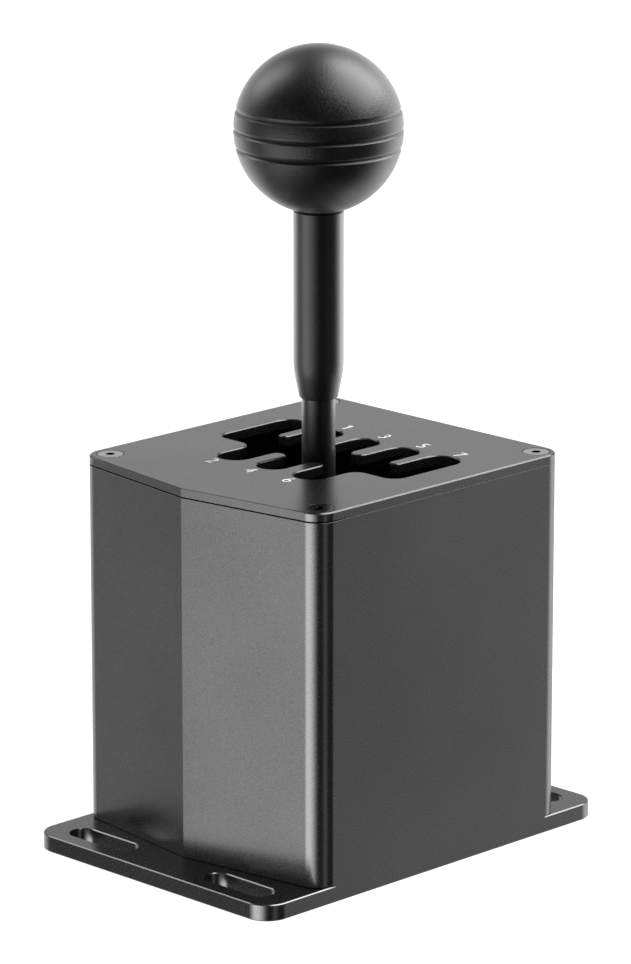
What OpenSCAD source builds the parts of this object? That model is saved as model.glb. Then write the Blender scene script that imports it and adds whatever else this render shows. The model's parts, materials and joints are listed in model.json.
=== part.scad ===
// Gear shifter for sim racing: a lever in a seven-speed gate, on a two-axis cradle in a metal housing.
// Origin at the centre of the base plate's underside. +X is the driver's right, +Y forward, +Z up.

/* [Base plate] */
// Width of the base plate and of the housing that stands flush with its sides
base_w = 100; // [96:1:120]
// Length of the base plate, front to back
base_len = 142.6; // [140:0.2:170]
// Thickness of the base plate
base_t = 5; // [4:0.5:8]
// Radius of the base plate's corners
base_corner_r = 7.5; // [3:0.5:12]
// Width of a mounting slot
slot_w = 8.2; // [5:0.1:9]
// Length of a mounting slot, end to end
slot_len = 26; // [14:1:30]
// Distance between the two slots of a row, centre to centre
slot_pitch = 58; // [48:1:60]
// Distance from the plate's front or back edge to a slot's centre
slot_edge = 9.4; // [7:0.2:10.4]

/* [Housing] */
// Distance from the lever's axis to the housing's front corners
house_front = 49.6; // [48.5:0.1:51]
// How far the front crease stands proud of the front corners
ridge = 7.1; // [2:0.1:8]
// Distance from the lever's axis to the housing's back face
house_back = 53.7; // [53:0.1:55]
// Height of the housing above the base plate
house_h = 110.2; // [100:0.2:130]
// Wall thickness of the housing
wall = 3.5; // [2.5:0.1:4]
// Radius of the housing's upright corners
house_corner_r = 6.5; // [4.5:0.1:8]
// Radius of the screw bosses in the housing's corners
boss_r = 5.2; // [4:0.1:6]

/* [Gate] */
// Thickness of the gate plate
gate_t = 3; // [2:0.2:5]
// Distance from the middle column to the columns of gears 1-2 and 5-6
inner_column = 16; // [15.5:0.1:17]
// Distance from the middle column to the columns of reverse and gear 7
outer_column = 31.4; // [31:0.1:32.5]
// Least gap between the rod and the sides of its slot
side_gap = 0.3; // [0.2:0.05:0.8]
// Gap between the rod in gear and the end of its slot
end_gap = 0.8; // [0.4:0.1:1.5]
// Half the width of the neutral channel
neutral_half = 6.2; // [5.6:0.1:7]
// Corner radius of the slot ends
slot_end_r = 5; // [2:0.1:5.2]
// Radius of the other corners of the gate
land_r = 4.5; // [2:0.1:5]

/* [Lever] */
// Diameter of the bare rod
rod_d = 10; // [9:0.1:11]
// Diameter of the rod's threaded upper end
thread_d = 8; // [6:0.1:8.6]
// Length of bare rod above the gate plate
rod_show = 17.5; // [12:0.5:30]
// Diameter of the sleeve
sleeve_d = 15; // [12.5:0.5:16]
// Diameter of the sleeve's lower end
sleeve_tip_d = 11; // [10.2:0.1:12]
// Length of the sleeve
sleeve_len = 56.7; // [40:0.1:90]
// Length of the sleeve's taper
taper_len = 8.9; // [4:0.1:14]
// Diameter of the knob
knob_d = 50.2; // [40:0.2:60]
// Seam between the sleeve and the knob
knob_seam = 0.35; // [0.2:0.05:1]
// Distance between the grooves of the knob
groove_pitch = 5.6; // [4:0.1:7]
// Half the width of a knob groove
groove_r = 0.8; // [0.4:0.1:1.4]
// Diameter of the knob's threaded insert
insert_d = 11; // [10:0.5:12]
// Length of the knob's threaded insert
insert_len = 18; // [12:0.5:24]

/* [Tilt] */
// Height of both tilt axes above the base plate
pivot_h = 35; // [34:0.5:38]
// Fore-and-aft tilt of the lever in gear, in degrees
engage_angle = 13.2; // [11:0.1:13.4]

/* [Cradle and bearings] */
// Diameter of the cradle's stub axles
axle_d = 12; // [11:0.5:13]
// Outer diameter of a ball bearing
bearing_od = 24; // [23:0.5:26]
// Width of a ball bearing
bearing_w = 6; // [5:0.5:7]
// Thickness of a bearing pillar
pillar_t = 8; // [7.5:0.5:9]
// Width of a bearing pillar's foot
pillar_w = 44; // [40:1:50]
// Height of a bearing pillar's foot
foot_h = 9; // [7:0.5:12]
// Wall of the pillar around its bearing
pillar_wall = 5; // [3:0.5:6]
// Thickness of the cradle's end walls
cradle_end_t = 6.5; // [5:0.5:8]
// Thickness of the cradle's cheeks
cheek_t = 8; // [6:0.5:9]
// Half the height of the cradle
cradle_half_h = 11; // [9:0.5:12]
// Diameter of the trunnion pins
trunnion_d = 8; // [6:0.5:8.5]
// Wall of a trunnion bush
bush_wall = 2; // [1:0.25:2.5]
// Thickness of a bush's flange
flange_t = 1; // [0.8:0.1:1.5]

/* [Hub and detent] */
// Width of the lever's hub
hub_w = 30; // [28:0.5:32]
// Radius of the hub's detent sector
sector_r = 18; // [17:0.5:18.5]
// Diameter of the hub's clamp tower
tower_d = 22; // [18:0.5:24]
// Height of the clamp tower above the tilt axes
tower_h = 26; // [22:0.5:32]
// Diameter of the detent ball
ball_d = 5; // [4:0.1:5.4]
// Thickness of the detent spring's wire
detent_wire = 0.8; // [0.5:0.1:1]
// Diameter of the detent's adjusting screw
adjuster_d = 8; // [6:0.5:8.5]
// Length of the detent's adjusting screw
adjuster_len = 5; // [4:0.5:6]

/* [Centring springs] */
// Distance from the lever's axis to a centring spring
spring_x = 30; // [29:0.5:32]
// Outer diameter of a centring spring
spring_od = 12; // [11:0.5:13]
// Thickness of a centring spring's wire
spring_wire = 1.4; // [1:0.1:1.6]
// Number of turns of a centring spring
spring_turns = 7; // [4:1:8]
// Height of the post inside a centring spring
post_h = 6; // [3:0.5:7]

/* [Electronics] */
// Thickness of the circuit boards
board_t = 1.6; // [1:0.1:2]
// Height of the board standoffs
standoff_h = 3; // [2:0.1:3.4]
// Width of the main board
main_board_w = 56; // [50:1:66]
// Width of the sensor board
sensor_board_w = 30; // [28:1:36]
// Length of the sensor board
sensor_board_len = 26; // [24:1:30]
// Diameter of the sensor magnet
magnet_d = 6; // [4:0.5:7]
// Thickness of the sensor magnet
magnet_t = 3; // [2:0.5:4]
// Diameter of one wire of the sensor lead
lead_wire_d = 1.3; // [0.9:0.1:1.5]

/* [Fasteners] */
// Diameter of the countersunk screws
screw_d = 4; // [3:0.5:4]
// Head diameter of the countersunk screws
screw_head_d = 8; // [7:0.1:8.4]
// Length of the countersunk screws
screw_len = 12; // [10:0.5:14]
// Distance from the housing's sides to its screws
screw_inset = 5.9; // [5.5:0.1:6.5]
// Diameter of the board screws
board_screw_d = 2.5; // [2:0.1:3]
// Diameter of the hub's set screws
set_screw_d = 5; // [4:0.5:6]

/* [Hidden] */
$fn = 64;

// Key sockets, across corners, as shares of the screw's diameter
screw_key_share = 0.72;
set_key_share = 0.58;

// Small clearances
fit = 0.02;
run = 0.05;
play = 0.3;
over = 1;

// Levels
house_top = base_t + house_h;
gate_top = house_top + gate_t;
pivot_z = base_t + pivot_h;
sleeve_z = gate_top + rod_show;
sleeve_top = sleeve_z + sleeve_len;
knob_z = sleeve_top + knob_seam;
groove_out = groove_r * 0.3;
knob_centre_z = knob_z + sqrt(pow(knob_d / 2, 2) - pow(sleeve_d / 2, 2));
board_z = base_t + standoff_h;
board_top = board_z + board_t;

// Plan of the housing
house_half = base_w / 2;
front_angle = atan(ridge / house_half);
ridge_y = -(house_front + ridge);
screw_x = house_half - screw_inset;
screw_back_y = house_back - screw_inset;
screw_front_y = screw_inset - house_front;
corner_points = [for (x = [-screw_x, screw_x], y = [screw_front_y, screw_back_y]) [x, y]];
slot_y = base_len / 2 - slot_edge;

// Gate, from the lever's tilt at each column
gate_mid_h = gate_top - gate_t / 2 - pivot_z;
gate_top_h = gate_top - pivot_z;
function slant(slope) = sqrt(1 + pow(slope, 2));
function lean(column) = column / gate_mid_h;
function rise(column) = tan(engage_angle) * slant(lean(column));
function slot_half(column) = gate_t / 2 * lean(column) + rod_d / 2 * slant(lean(column)) + side_gap;
function slot_end(column) = gate_top_h * rise(column) + rod_d / 2 * slant(rise(column)) + end_gap;
select_angle = atan(lean(inner_column));
gate_half_w = outer_column + slot_half(outer_column);
tip_flat = 0.2;
arc_steps = 8;
echo("tilt to the next column, in degrees", select_angle);

// Cradle, outwards from the hub
cradle_in_x = hub_w / 2 + play + flange_t;
cradle_out_x = cradle_in_x + cheek_t;
sector_clear = 2.5;
axle_reach = 1.5;
cradle_in_y = sector_r + sector_clear;
cradle_out_y = cradle_in_y + cradle_end_t;
cradle_corner_r = 4;
collar_t = 1.2;
collar_step = 1.5;
collar_d = axle_d + 2 * collar_step;
pillar_in_y = cradle_out_y + collar_t;
pillar_out_y = pillar_in_y + pillar_t;
clip_t = 1;
clip_grip = 0.5;
clip_ring = 2.5;
clip_tail = 1.2;
axle_end_y = pillar_out_y + play + clip_t + clip_tail;
pin_inset = 2;
pin_in_x = rod_d / 2 + pin_inset;
pin_end_x = cradle_out_x + play + clip_t + clip_tail;
bush_od = trunnion_d + 2 * bush_wall;

// Bearing rings and balls
race_t = 1.8;
bearing_mid_r = (axle_d + bearing_od) / 4;
bearing_ball_r = (bearing_od - axle_d) / 4 - race_t - run;
bearing_ball_count = 9;

// Pillar
pillar_top_r = bearing_od / 2 + pillar_wall;
arch_half = 9;
arch_rise = 8;
pillar_screw_x = (arch_half + pillar_w / 2) / 2;
pillar_mid_y = (pillar_in_y + pillar_out_y) / 2;

// Hub and what hangs under it
hub_back_y = 13;
hub_flat = 1.5;
hub_floor_z = pivot_z - sector_r + hub_flat;
rod_depth = 10;
thread_short = 2;
rod_foot_z = pivot_z - rod_depth;
set_screw_drop = 6;
set_screw_sink = 0.6;
set_screw_z = pivot_z + tower_h - set_screw_drop;
set_screw_len = tower_d / 2 - rod_d / 2 - set_screw_sink;
holder_wall = 2;
holder_r = magnet_d / 2 + holder_wall;
holder_len = 10;
holder_stud_r = 2.5;
holder_stud_len = 4;
holder_foot_z = hub_floor_z - holder_len;

// Detent in the hollow front axle
detent_gap = 0.2;
detent_groove_r = ball_d / 2 + 2 * run;
groove_out_share = 0.65;
detent_groove_out = groove_out_share * detent_groove_r;
ball_y = sector_r + detent_gap + ball_d / 2;
axle_in_y = cradle_in_y - axle_reach;
detent_bore_r = ball_d / 2 + 2 * run;
adjuster_y = axle_end_y - adjuster_len;
detent_spring_r = detent_bore_r - 2 * run - detent_wire / 2;
detent_spring_y = ball_y + sqrt(pow(ball_d / 2 + detent_wire / 2 + 2 * run, 2) - pow(detent_spring_r, 2));
detent_turns = 6;

// Centring springs under the cradle's lugs
lug_t = 4.5;
lug_margin = 1.5;
lug_half_y = spring_od / 2 + lug_margin;
lug_floor_z = pivot_z - cradle_half_h;
lug_end_x = spring_x + spring_od / 2 + lug_margin / 3;
spring_r = spring_od / 2 - spring_wire / 2;
spigot_gap = 0.4;
spigot_r = spring_od / 2 - spring_wire - spigot_gap;
spigot_len = 2.5;
post_stem_r = 2.5;
post_stem_sink = 0.5;
post_stem_len = base_t - post_stem_sink;

// Boards
board_gap = 0.5;
main_board_y = pillar_out_y + 2 * board_gap;
main_board_end = house_back - wall - board_gap;
main_board_mid = (main_board_y + main_board_end) / 2;
board_edge = 4;
standoff_r = 2.5;
board_head_share = 0.9;
board_screw_head_r = board_screw_d * board_head_share;
board_screw_head_t = 1.4;
board_points = concat(
    [for (x = [-1, 1]) [x * (main_board_w / 2 - board_edge), main_board_mid]],
    [for (x = [-1, 1], y = [-1, 1])
        [x * (sensor_board_w / 2 - board_edge), y * (sensor_board_len / 2 - board_edge)]]
);
header_w = 7;
header_len = 4;
header_h = 2.2;
sensor_header_y = sensor_board_len / 2 - header_len;
main_header_y = main_board_y + board_gap;
lead_z = board_top + header_h / 2;
lead_wires = 4;
lead_pitch = lead_wire_d * 0.94;
chip_w = 7;
chip_t = 1.2;
sensor_chip_size = [5, 4];
board_r = 1;

// Inlet in the forward wall
socket_w = 8.9;
socket_h = 3.2;
socket_wall = 0.3;
tongue_t = 0.7;
recess_w = 14;
recess_h = 8;
recess_floor = 1;
recess_depth = wall - recess_floor;
socket_y = house_back - recess_depth - play;
socket_len = socket_y - main_header_y - header_len - board_gap;
socket_back = 1;
socket_z = board_top + socket_h / 2;

anodised_grey = [0.25, 0.25, 0.26];
anodised_black = [0.06, 0.06, 0.06];
bare_alu = [0.72, 0.73, 0.75];
steel = [0.62, 0.63, 0.65];
bronze = [0.70, 0.52, 0.28];
header_white = [0.85, 0.85, 0.82];
lead_grey = [0.12, 0.12, 0.13];
board_black = [0.05, 0.09, 0.07];
chip_black = [0.08, 0.08, 0.09];

// Plane shapes

module rounded_rect(w, l, r) {
    square([w - 2 * r, l], center = true);
    square([w, l - 2 * r], center = true);
    for (x = [-1, 1], y = [-1, 1])
        translate([x * (w / 2 - r), y * (l / 2 - r)]) circle(r);
}

module stadium(w, h) {
    square([w - h, h], center = true);
    for (x = [-1, 1]) translate([x * (w - h) / 2, 0]) circle(h / 2);
}

// Housing plan, drawn in by inset: straight sides and back, and a front of two facets that meet in a crease
module house_plan(inset) {
    half = house_half - inset;
    r = max(house_corner_r - inset, 1);
    crease = ridge_y + inset / cos(front_angle);
    back = house_back - inset;
    front = crease + half * tan(front_angle) + r * (1 - sin(front_angle)) / cos(front_angle);
    facet = [half - r + r * sin(front_angle), front - r * cos(front_angle)];
    polygon([
        [half, front], [half, back - r], [half - r, back],
        [r - half, back], [-half, back - r], [-half, front],
        [-facet[0], facet[1]], [0, crease], facet
    ]);
    for (x = [-1, 1], y = [front, back - r]) translate([x * (half - r), y]) circle(r);
}

// Outline with its square corners, each [x, y, radius], rounded
function rounded(corners) = [
    for (i = [0:len(corners) - 1])
        let (
            last = len(corners) - 1,
            a = corners[i > 0 ? i - 1 : last],
            b = corners[i],
            c = corners[i < last ? i + 1 : 0],
            back = unit([a[0] - b[0], a[1] - b[1]]),
            ahead = unit([c[0] - b[0], c[1] - b[1]])
        )
        for (turn = [0:90 / arc_steps:90])
            [b[0], b[1]] + b[2] * (back * (1 - sin(turn)) + ahead * (1 - cos(turn)))
];

function unit(v) = v / norm(v);

// Radius at the tip of the land between two columns, which leaves a narrow flat there
function tip_r(a, b) = (abs(b - a) - slot_half(abs(a)) - slot_half(abs(b)) - tip_flat) / 2;

// Corner where a slot's side meets the neutral channel; the forward row has none at its ends
function mouth(x, side, column, neighbour) =
    is_undef(neighbour)
        ? (side < 0 ? [[x, side * neutral_half, land_r]] : [])
        : [[x, side * neutral_half, tip_r(column, neighbour)]];

// Corners of one slot of a row, from one side of its mouth round its end to the other
function slot_corners(columns, i, side) =
    let (
        column = columns[i],
        half = side * slot_half(abs(column)),
        end = side * slot_end(abs(column)),
        r = min(slot_end_r, (2 * abs(half) - tip_flat) / 2)
    )
    concat(
        mouth(column + half, side, column, columns[i - 1]),
        [[column + half, end, r], [column - half, end, r]],
        mouth(column - half, side, column, columns[i + 1])
    );

module gate_opening() {
    driver_row = [-inner_column, 0, inner_column];
    forward_row = [outer_column, inner_column, 0, -inner_column, -outer_column];
    polygon(rounded(concat(
        [[-gate_half_w, -neutral_half, land_r]],
        [for (i = [0:len(driver_row) - 1]) each slot_corners(driver_row, i, -1)],
        [[gate_half_w, -neutral_half, land_r]],
        [for (i = [0:len(forward_row) - 1]) each slot_corners(forward_row, i, 1)]
    )));
}

// Solid shapes used more than once

module along_x(from, to, r) {
    translate([from, 0, 0]) rotate([0, 90, 0]) cylinder(r = r, h = to - from);
}

module along_y(from, to, r) {
    translate([0, from, 0]) rotate([-90, 0, 0]) cylinder(r = r, h = to - from);
}

// Countersunk screw, head up, with its top face at z = 0
module csk_screw() {
    head_h = (screw_head_d - screw_d) / 2;
    difference() {
        union() {
            translate([0, 0, -head_h]) cylinder(r1 = screw_d / 2, r2 = screw_head_d / 2, h = head_h);
            translate([0, 0, -screw_len]) cylinder(d = screw_d, h = screw_len - head_h);
        }
        translate([0, 0, -head_h * screw_key_share])
            cylinder(d = screw_d * screw_key_share, h = head_h, $fn = 6);
    }
}

// Hole for that screw: its countersink at z = 0 and its shank below
module csk_hole(depth) {
    head_h = (screw_head_d - screw_d) / 2 + run;
    translate([0, 0, -head_h])
        cylinder(r1 = screw_d / 2 + run, r2 = screw_head_d / 2 + 2 * run, h = head_h + fit);
    translate([0, 0, -depth]) cylinder(r = screw_d / 2 + run, h = depth);
}

// Retaining ring round a groove at z = 0, open on one side
module clip(shaft_r) {
    clip_mouth = shaft_r * 0.8;
    difference() {
        cylinder(r = shaft_r - clip_grip + clip_ring, h = clip_t);
        translate([0, 0, -over]) cylinder(r = shaft_r - clip_grip + fit, h = clip_t + 2 * over);
        translate([0, -clip_mouth / 2, -over]) cube([2 * shaft_r + clip_ring, clip_mouth, clip_t + 2 * over]);
    }
}

// Groove for that ring, cut from the shaft
module clip_groove(shaft_r) {
    translate([0, 0, -run]) difference() {
        cylinder(r = shaft_r + over, h = clip_t + 2 * run);
        translate([0, 0, -over]) cylinder(r = shaft_r - clip_grip, h = clip_t + 2 * run + 2 * over);
    }
}

coil_sides = 6;
coil_steps = 8;

function coil_point(i, k, r, wire, pitch) =
    let (turn = i * 360 / coil_steps, side = k * 360 / coil_sides - 90, out = r + wire / 2 * cos(side))
    [out * cos(turn), out * sin(turn), wire / 2 + pitch * i / coil_steps + wire / 2 * sin(side)];

// Wound spring that stands on z = 0 and reaches up to len
module coil(r, wire, turns, len) {
    pitch = (len - wire) / turns;
    rings = turns * coil_steps;
    echo("least gap between turns", pitch - wire);
    points = [for (i = [0:rings], k = [0:coil_sides - 1]) coil_point(i, k, r, wire, pitch)];
    sides = [for (i = [0:rings - 1], k = [0:coil_sides - 1], half = [0, 1])
        let (a = i * coil_sides + k, b = i * coil_sides + (k + 1) % coil_sides)
        half == 0 ? [a, a + coil_sides, b] : [b, a + coil_sides, b + coil_sides]];
    first = [for (k = [1:coil_sides - 2]) [0, k, k + 1]];
    last = [for (k = [1:coil_sides - 2]) let (a = rings * coil_sides) [a, a + k + 1, a + k]];
    polyhedron(points, concat(sides, first, last));
}

// Static parts

module base_plate() color(anodised_grey) difference() {
    linear_extrude(base_t) difference() {
        rounded_rect(base_w, base_len, base_corner_r);
        for (x = [-1, 1], y = [-1, 1])
            translate([x * slot_pitch / 2, y * slot_y]) stadium(slot_len, slot_w);
    }
    for (p = corner_points) translate([p[0], p[1], 0]) mirror([0, 0, 1]) csk_hole(base_t + over);
    for (x = [-1, 1], y = [-1, 1])
        translate([x * pillar_screw_x, y * pillar_mid_y, 0]) mirror([0, 0, 1]) csk_hole(base_t + over);
    for (p = board_points)
        translate([p[0], p[1], -over]) cylinder(r = board_screw_d / 2 + run, h = base_t + 2 * over);
    for (x = [-1, 1])
        translate([x * spring_x, 0, -over]) cylinder(r = post_stem_r + fit, h = base_t + 2 * over);
}

module housing() color(anodised_grey) difference() {
    translate([0, 0, base_t]) linear_extrude(house_h) {
        difference() {
            house_plan(0);
            house_plan(wall);
        }
        intersection() {
            house_plan(0);
            for (p = corner_points) translate(p) circle(boss_r);
        }
    }
    for (p = corner_points) {
        translate([p[0], p[1], base_t - over]) cylinder(r = screw_d / 2 + run, h = screw_len + over);
        translate([p[0], p[1], house_top - screw_len]) cylinder(r = screw_d / 2 + run, h = screw_len + over);
    }
    translate([0, house_back + over, socket_z]) rotate([90, 0, 0])
        linear_extrude(recess_depth + over) stadium(recess_w, recess_h);
    translate([0, house_back + over, socket_z]) rotate([90, 0, 0])
        linear_extrude(wall + 2 * over) stadium(socket_w + 2 * play, socket_h + 2 * play);
}

module gate_plate() color(anodised_grey) difference() {
    translate([0, 0, house_top]) linear_extrude(gate_t) difference() {
        house_plan(0);
        gate_opening();
    }
    for (p = corner_points) translate([p[0], p[1], gate_top]) csk_hole(gate_t + over);
}

module gate_screws() color(steel)
    for (p = corner_points) translate([p[0], p[1], gate_top - run]) csk_screw();

module housing_screws() color(steel)
    for (p = corner_points) translate([p[0], p[1], run]) mirror([0, 0, 1]) csk_screw();

module pillar_screws() color(steel)
    for (x = [-1, 1], y = [-1, 1])
        translate([x * pillar_screw_x, y * pillar_mid_y, run]) mirror([0, 0, 1]) csk_screw();

// Bearing block on the rear side: an arch with a seat for its bearing on the inner face
module pillar() color(bare_alu) difference() {
    translate([0, pillar_out_y, 0]) rotate([90, 0, 0]) linear_extrude(pillar_t) difference() {
        union() {
            polygon([
                [-pillar_w / 2, base_t], [pillar_w / 2, base_t], [pillar_w / 2, base_t + foot_h],
                [pillar_top_r, pivot_z], [-pillar_top_r, pivot_z], [-pillar_w / 2, base_t + foot_h]
            ]);
            translate([0, pivot_z]) circle(pillar_top_r);
        }
        translate([-arch_half, base_t - over]) square([2 * arch_half, arch_rise + over]);
        translate([0, base_t + arch_rise]) circle(arch_half);
        translate([0, pivot_z]) circle(collar_d / 2);
    }
    translate([0, 0, pivot_z]) along_y(pillar_in_y - over, pillar_in_y + bearing_w, bearing_od / 2 + fit);
    for (x = [-1, 1])
        translate([x * pillar_screw_x, pillar_mid_y, base_t - over])
            cylinder(r = screw_d / 2 + run, h = screw_len - base_t + 2 * over);
}

module rear_pillar() pillar();

module front_pillar() mirror([0, 1, 0]) pillar();

module bearing_ring(r_in, r_out) color(steel)
    for (s = [0, 1]) mirror([0, s, 0]) translate([0, 0, pivot_z]) difference() {
        along_y(pillar_in_y, pillar_in_y + bearing_w, r_out);
        along_y(pillar_in_y - over, pillar_in_y + bearing_w + over, r_in);
    }

module bearing_outer_rings() bearing_ring(bearing_od / 2 - race_t, bearing_od / 2);

module bearing_inner_rings() bearing_ring(axle_d / 2 + fit, axle_d / 2 + race_t);

module bearing_balls() color(steel)
    for (s = [-1, 1], i = [1:bearing_ball_count])
        translate([0, s * (pillar_in_y + bearing_w / 2), pivot_z])
            rotate([0, i * 360 / bearing_ball_count, 0])
                translate([bearing_mid_r, 0, 0]) sphere(bearing_ball_r);

module spring_posts() color(steel)
    for (x = [-1, 1]) translate([x * spring_x, 0, base_t]) {
        cylinder(r = spigot_r, h = post_h);
        translate([0, 0, -post_stem_len]) cylinder(r = post_stem_r, h = post_stem_len);
    }

module centring_spring(side) color(steel)
    translate([side * spring_x, 0, base_t + run])
        coil(spring_r, spring_wire, spring_turns, lug_floor_z - base_t - 2 * run);

module left_spring() centring_spring(-1);

module right_spring() centring_spring(1);

// Cradle, which tilts left and right

module select_cradle() color(bare_alu) difference() {
    union() {
        translate([0, 0, pivot_z - cradle_half_h]) linear_extrude(2 * cradle_half_h) difference() {
            rounded_rect(2 * cradle_out_x, 2 * cradle_out_y, cradle_corner_r);
            square([2 * cradle_in_x, 2 * cradle_in_y], center = true);
        }
        for (s = [0, 1]) mirror([s, 0, 0]) {
            translate([cradle_in_x, -lug_half_y, lug_floor_z])
                cube([lug_end_x - cradle_in_x, 2 * lug_half_y, lug_t]);
            translate([spring_x, 0, lug_floor_z - spigot_len]) cylinder(r = spigot_r, h = spigot_len + lug_t);
        }
    }
    translate([0, 0, pivot_z]) {
        along_y(-cradle_out_y - over, cradle_out_y + over, axle_d / 2 + fit);
        along_x(-cradle_out_x - over, cradle_out_x + over, bush_od / 2 + fit);
    }
}

module axle_blank(from) {
    difference() {
        union() {
            along_y(from, axle_end_y, axle_d / 2);
            along_y(cradle_out_y, pillar_in_y, collar_d / 2);
        }
        translate([0, pillar_out_y + play, 0]) rotate([-90, 0, 0]) clip_groove(axle_d / 2);
    }
}

module rear_axle() color(steel) translate([0, 0, pivot_z]) axle_blank(cradle_in_y);

module front_axle() color(steel) translate([0, 0, pivot_z]) mirror([0, 1, 0]) difference() {
    axle_blank(axle_in_y);
    along_y(axle_in_y - over, adjuster_y + over, detent_bore_r);
    along_y(adjuster_y, axle_end_y + over, adjuster_d / 2);
}

module axle_clips() color(steel)
    for (s = [0, 1]) mirror([0, s, 0])
        translate([0, pillar_out_y + play, pivot_z]) rotate([-90, 0, 0]) clip(axle_d / 2);

module detent_ball() color(steel) translate([0, -ball_y, pivot_z]) sphere(d = ball_d);

module detent_spring() color(steel)
    translate([0, -detent_spring_y, pivot_z]) rotate([90, 0, 0])
        coil(detent_spring_r, detent_wire, detent_turns, adjuster_y - detent_spring_y - run);

module detent_adjuster() color(steel)
    translate([0, 0, pivot_z]) mirror([0, 1, 0]) difference() {
        along_y(adjuster_y + run, axle_end_y - play, adjuster_d / 2 - run);
        translate([0, axle_end_y - adjuster_len / 2, 0]) rotate([-90, 0, 0])
            cylinder(d = adjuster_d * set_key_share, h = adjuster_len, $fn = 6);
    }

module trunnion_bushes() color(bronze)
    for (s = [0, 1]) mirror([s, 0, 0]) translate([0, 0, pivot_z]) difference() {
        union() {
            along_x(cradle_in_x, cradle_out_x, bush_od / 2);
            along_x(cradle_in_x - flange_t, cradle_in_x, bush_od / 2 + bush_wall);
        }
        along_x(cradle_in_x - flange_t - over, cradle_out_x + over, trunnion_d / 2 + run);
    }

// Lever, which also tilts forward and back

module trunnion_pins() color(steel)
    for (s = [0, 1]) mirror([s, 0, 0]) translate([0, 0, pivot_z]) difference() {
        along_x(pin_in_x, pin_end_x, trunnion_d / 2);
        translate([cradle_out_x + play, 0, 0]) rotate([0, 90, 0]) clip_groove(trunnion_d / 2);
    }

module pin_clips() color(steel)
    for (s = [0, 1]) mirror([s, 0, 0])
        translate([cradle_out_x + play, 0, pivot_z]) rotate([0, 90, 0]) clip(trunnion_d / 2);

module lever_hub() color(bare_alu) difference() {
    union() {
        intersection() {
            translate([0, 0, pivot_z]) along_x(-hub_w / 2, hub_w / 2, sector_r);
            translate([-hub_w, -2 * sector_r, hub_floor_z])
                cube([2 * hub_w, 2 * sector_r + hub_back_y, 2 * sector_r]);
        }
        translate([0, 0, pivot_z]) cylinder(d = tower_d, h = tower_h);
    }
    translate([0, 0, rod_foot_z]) cylinder(r = rod_d / 2 + fit, h = tower_h + pivot_z);
    translate([0, 0, pivot_z]) for (s = [0, 1]) mirror([s, 0, 0])
        along_x(pin_in_x - play, hub_w, trunnion_d / 2 + fit);
    for (a = [-engage_angle, 0, engage_angle])
        translate([0, 0, pivot_z]) rotate([a, 0, 0]) translate([0, -sector_r - detent_groove_out, 0])
            along_x(-hub_w, hub_w, detent_groove_r);
    translate([0, 0, set_screw_z]) along_y(-tower_d, tower_d, set_screw_d / 2 + run);
    translate([0, 0, hub_floor_z - over])
        cylinder(r = holder_stud_r + fit, h = holder_stud_len + play + over);
}

module hub_set_screws() color(steel)
    for (s = [0, 1]) mirror([0, s, 0]) translate([0, 0, set_screw_z]) difference() {
        along_y(rod_d / 2 + run, rod_d / 2 + set_screw_len, set_screw_d / 2);
        translate([0, rod_d / 2 + set_screw_len / 2, 0]) rotate([-90, 0, 0])
            cylinder(d = set_screw_d * set_key_share, h = set_screw_len, $fn = 6);
    }

module lever_rod() color(anodised_black) {
    translate([0, 0, rod_foot_z]) cylinder(d = rod_d, h = sleeve_z - rod_foot_z);
    translate([0, 0, rod_foot_z]) cylinder(d = thread_d, h = knob_z + insert_len - thread_short - rod_foot_z);
}

module lever_sleeve() color(anodised_black) translate([0, 0, sleeve_z]) difference() {
    union() {
        cylinder(r1 = sleeve_tip_d / 2, r2 = sleeve_d / 2, h = taper_len);
        translate([0, 0, taper_len]) cylinder(d = sleeve_d, h = sleeve_len - taper_len);
    }
    translate([0, 0, -over]) cylinder(r = thread_d / 2 + run, h = sleeve_len + 2 * over);
}

module knob() color(anodised_black) difference() {
    intersection() {
        translate([0, 0, knob_centre_z]) sphere(d = knob_d);
        translate([0, 0, knob_z]) cylinder(r = knob_d, h = 2 * knob_d);
    }
    for (i = [-1, 0, 1])
        translate([0, 0, knob_centre_z + i * groove_pitch]) rotate_extrude()
            translate([sqrt(pow(knob_d / 2, 2) - pow(i * groove_pitch, 2)) + groove_out, 0])
                circle(groove_r, $fn = 24);
    translate([0, 0, knob_z - over]) cylinder(r = insert_d / 2 + fit, h = insert_len + run + over);
}

module knob_insert() color(bronze) translate([0, 0, knob_z]) difference() {
    cylinder(d = insert_d, h = insert_len);
    translate([0, 0, -over]) cylinder(r = thread_d / 2 + run, h = insert_len + 2 * over);
}

module magnet_holder() color(bare_alu) difference() {
    union() {
        translate([0, 0, holder_foot_z]) cylinder(r = holder_r, h = holder_len);
        translate([0, 0, hub_floor_z]) cylinder(r = holder_stud_r, h = holder_stud_len);
    }
    translate([0, 0, holder_foot_z - over]) cylinder(r = magnet_d / 2 + fit, h = magnet_t + run + over);
}

module sensor_magnet() color(steel) translate([0, 0, holder_foot_z]) cylinder(d = magnet_d, h = magnet_t);

// Electronics

module board(w, from, to) color(board_black) difference() {
    translate([0, (from + to) / 2, board_z]) linear_extrude(board_t) rounded_rect(w, to - from, board_r);
    for (p = board_points)
        translate([p[0], p[1], board_z - over]) cylinder(r = board_screw_d / 2 + run, h = board_t + 2 * over);
}

module main_board() board(main_board_w, main_board_y, main_board_end);

module sensor_board() board(sensor_board_w, -sensor_board_len / 2, sensor_board_len / 2);

module sensor_chip() color(chip_black) translate([0, 0, board_top + chip_t / 2])
    cube([sensor_chip_size[0], sensor_chip_size[1], chip_t], center = true);

module controller_chip() color(chip_black)
    translate([main_board_w / 4, main_board_mid, board_top + chip_t / 2])
        cube([chip_w, chip_w, chip_t], center = true);

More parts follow.
